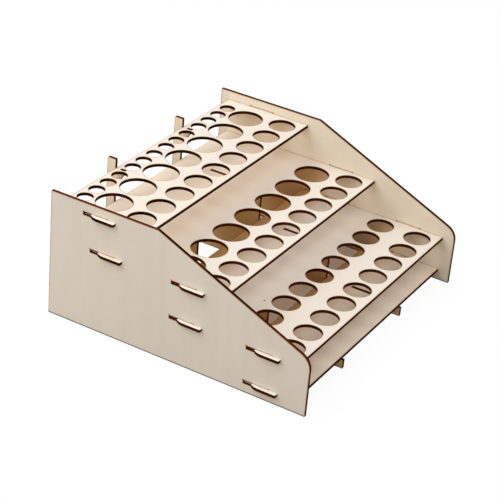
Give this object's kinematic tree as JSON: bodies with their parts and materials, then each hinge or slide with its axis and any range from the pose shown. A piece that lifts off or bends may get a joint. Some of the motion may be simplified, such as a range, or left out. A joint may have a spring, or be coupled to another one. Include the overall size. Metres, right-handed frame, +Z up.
{
  "type": "paint bottle and brush rack",
  "caption": "Stepped desktop rack cut from plywood sheet: shelves with round holes hold paint bottles and brushes upright, hooked into two side panels that slide to lock.",
  "frame": {"origin": "on the table, in the middle of the footprint's bounding box", "axes": "+X to the user's right, +Y to the rear, +Z up; the front, with the lowest tier, faces -Y"},
  "size_m": [0.294, 0.271, 0.126],
  "materials": {
    "plywood": "unfinished, with laser-burnt edges"
  },
  "bodies": {
    "shelf_frame": {"left_inner_rib": "plywood", "right_inner_rib": "plywood", "bottom_shelf": "plywood", "lower_shelf": "plywood", "middle_shelf": "plywood", "top_shelf": "plywood"},
    "left_panel": {"left_side_panel": "plywood"},
    "right_panel": {"right_side_panel": "plywood"}
  },
  "joints": [
    {"name": "left_panel_unlock", "type": "slide", "parent": "shelf_frame", "child": "left_panel", "axis": [0, -1, 0], "range_m": [0, 0.009]},
    {"name": "right_panel_unlock", "type": "slide", "parent": "shelf_frame", "child": "right_panel", "axis": [0, -1, 0], "range_m": [0, 0.009]}
  ]
}
